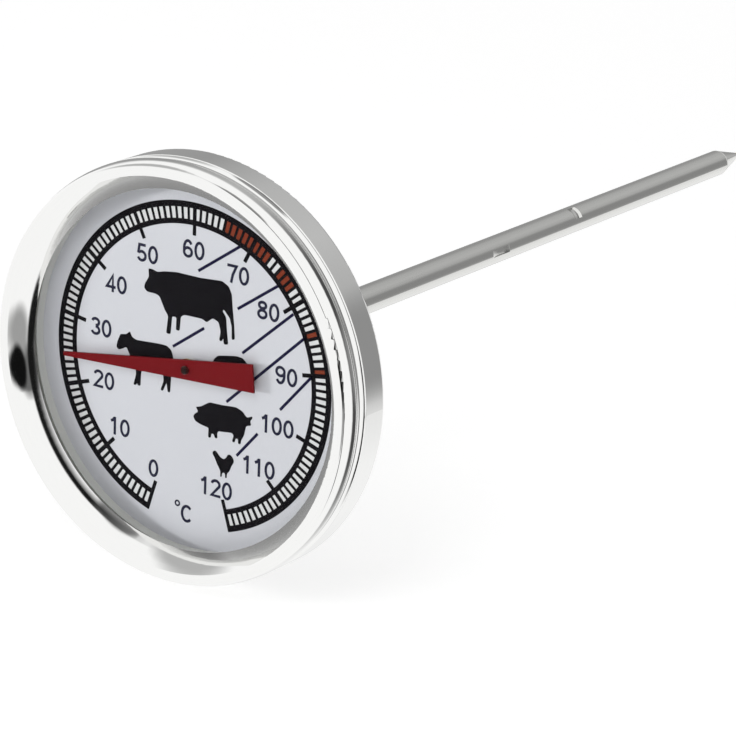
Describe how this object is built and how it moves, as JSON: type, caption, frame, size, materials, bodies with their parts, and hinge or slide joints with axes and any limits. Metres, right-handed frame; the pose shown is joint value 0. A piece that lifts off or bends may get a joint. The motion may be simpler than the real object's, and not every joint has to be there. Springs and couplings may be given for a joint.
{
  "type": "meat thermometer",
  "caption": "Round dial thermometer with a polished bezel, a red pointer over a Celsius scale and a long thin pointed stem that is pushed into meat.",
  "frame": {"origin": "on the stem's axis, at the rear face of the bush's collar, where the bare stem begins", "axes": "+Y along the stem towards its point, so the dial faces -Y; +Z towards twelve o'clock on the dial; +X towards three o'clock"},
  "size_m": [0.0522, 0.1399, 0.0522],
  "materials": {
    "polished_steel": "polished",
    "case_steel": "satin",
    "stem_steel": "polished",
    "support_steel": "zinc plated",
    "spindle_steel": "drawn wire",
    "spacer_metal": "matt anodised",
    "dial_enamel": "silver-white satin enamel",
    "lens_glass": "clear",
    "seal_rubber": "matt",
    "washer_plastic": "matt",
    "bearing_brass": "turned",
    "bimetal_strip": "rolled",
    "pointer_red": "satin enamel"
  },
  "bodies": {
    "head": {"bezel_ring": "polished_steel", "case_back": "case_steel", "case_seal": "seal_rubber", "dial_support": "support_steel", "dial_plate": "dial_enamel", "spacer_ring": "spacer_metal", "lens_seal": "seal_rubber", "lens": "lens_glass", "stem_bush": "case_steel", "bush_washer": "washer_plastic", "bush_nut": "support_steel", "stem_tube": "stem_steel", "stem_tip": "stem_steel", "upper_bearing": "bearing_brass", "middle_bearing": "bearing_brass", "lower_bearing": "bearing_brass", "coil_anchor": "bearing_brass", "bimetal_coil": "bimetal_strip"},
    "pointer_train": {"spindle": "spindle_steel", "coil_collar": "bearing_brass", "spindle_collar": "bearing_brass", "pointer_hub": "bearing_brass", "pointer": "pointer_red"}
  },
  "joints": [
    {"name": "pointer_turn", "type": "hinge", "parent": "head", "child": "pointer_train", "pos_m": [0, -0.008, 0], "axis": [0, 1, 0], "range_deg": [-66.15, 257.85], "stiffness_Nm_per_rad": 0.0002, "deforming": ["bimetal_coil"]}
  ]
}
